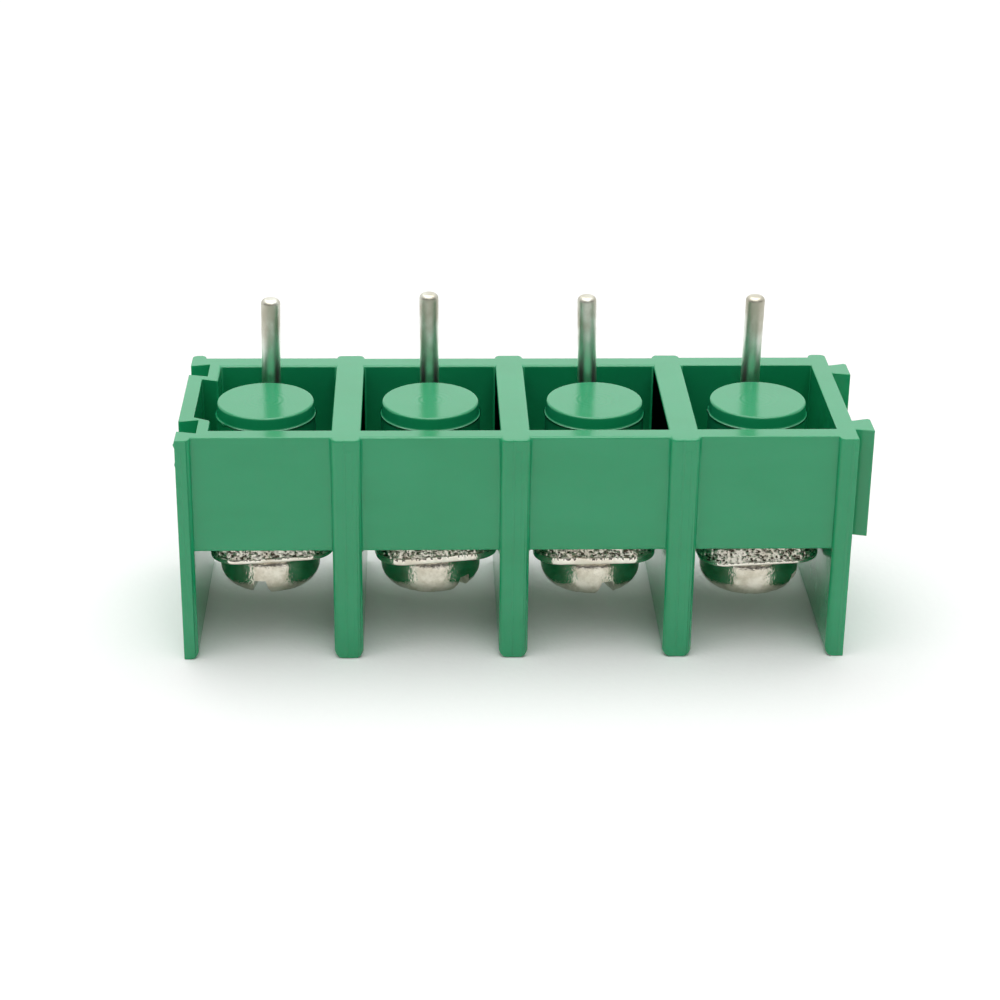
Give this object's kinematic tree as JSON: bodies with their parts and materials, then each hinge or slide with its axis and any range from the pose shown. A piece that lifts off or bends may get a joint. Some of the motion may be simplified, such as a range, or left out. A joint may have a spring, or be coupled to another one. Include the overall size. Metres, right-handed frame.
{
  "type": "pcb screw terminal",
  "caption": "Barrier terminal block for a circuit board: open green housing with ribs, round solder pins, and a pan head screw with a captive square clamp plate in each bay.",
  "frame": {"origin": "in the board seat plane, on the line of the four solder pins, on the middle rib", "axes": "+X along the row towards the end with tabs, +Y from the wire side to the solder pin side, +Z out of the board seat, the way the pins point; the block stands board side up on its barrier tips"},
  "size_m": [0.0352, 0.0116, 0.0168],
  "materials": {
    "housing_plastic": "satin moulded thermoplastic",
    "plated_brass": "tin plated",
    "tinned_pin": "bright tin plated",
    "nickel_plate": "nickel plated, sheared edges",
    "nickel_screw": "bright nickel plated"
  },
  "bodies": {
    "housing": {"housing": "housing_plastic", "terminal_plate_1": "plated_brass", "terminal_plate_2": "plated_brass", "terminal_plate_3": "plated_brass", "terminal_plate_4": "plated_brass", "solder_pin_1": "tinned_pin", "solder_pin_2": "tinned_pin", "solder_pin_3": "tinned_pin", "solder_pin_4": "tinned_pin"},
    "clamp_1": {"clamp_plate_1": "nickel_plate"},
    "screw_1": {"screw_1": "nickel_screw"},
    "clamp_2": {"clamp_plate_2": "nickel_plate"},
    "screw_2": {"screw_2": "nickel_screw"},
    "clamp_3": {"clamp_plate_3": "nickel_plate"},
    "screw_3": {"screw_3": "nickel_screw"},
    "clamp_4": {"clamp_plate_4": "nickel_plate"},
    "screw_4": {"screw_4": "nickel_screw"}
  },
  "joints": [
    {"name": "clamp_slide_1", "type": "slide", "parent": "housing", "child": "clamp_1", "axis": [0, 0, -1], "range_m": [-0.00004, 0.00196]},
    {"name": "screw_turn_1", "type": "hinge", "parent": "clamp_1", "child": "screw_1", "pos_m": [-0.01275, -0.0037, -0.009], "axis": [0, 0, -1], "range_deg": [-28.8, 1411.2]},
    {"name": "clamp_slide_2", "type": "slide", "parent": "housing", "child": "clamp_2", "axis": [0, 0, -1], "range_m": [-0.00011, 0.00189]},
    {"name": "screw_turn_2", "type": "hinge", "parent": "clamp_2", "child": "screw_2", "pos_m": [-0.00425, -0.0037, -0.009], "axis": [0, 0, -1], "range_deg": [-79.2, 1360.8]},
    {"name": "clamp_slide_3", "type": "slide", "parent": "housing", "child": "clamp_3", "axis": [0, 0, -1], "range_m": [-0.00022, 0.00178]},
    {"name": "screw_turn_3", "type": "hinge", "parent": "clamp_3", "child": "screw_3", "pos_m": [0.00425, -0.0037, -0.009], "axis": [0, 0, -1], "range_deg": [-158.4, 1281.6]},
    {"name": "clamp_slide_4", "type": "slide", "parent": "housing", "child": "clamp_4", "axis": [0, 0, -1], "range_m": [-0.00031, 0.00169]},
    {"name": "screw_turn_4", "type": "hinge", "parent": "clamp_4", "child": "screw_4", "pos_m": [0.01275, -0.0037, -0.009], "axis": [0, 0, -1], "range_deg": [-223.2, 1216.8]}
  ],
  "couplings": [
    {"joint": "screw_turn_1", "follows": "clamp_slide_1", "rad_per_m": 12566},
    {"joint": "screw_turn_2", "follows": "clamp_slide_2", "rad_per_m": 12566},
    {"joint": "screw_turn_3", "follows": "clamp_slide_3", "rad_per_m": 12566},
    {"joint": "screw_turn_4", "follows": "clamp_slide_4", "rad_per_m": 12566}
  ]
}
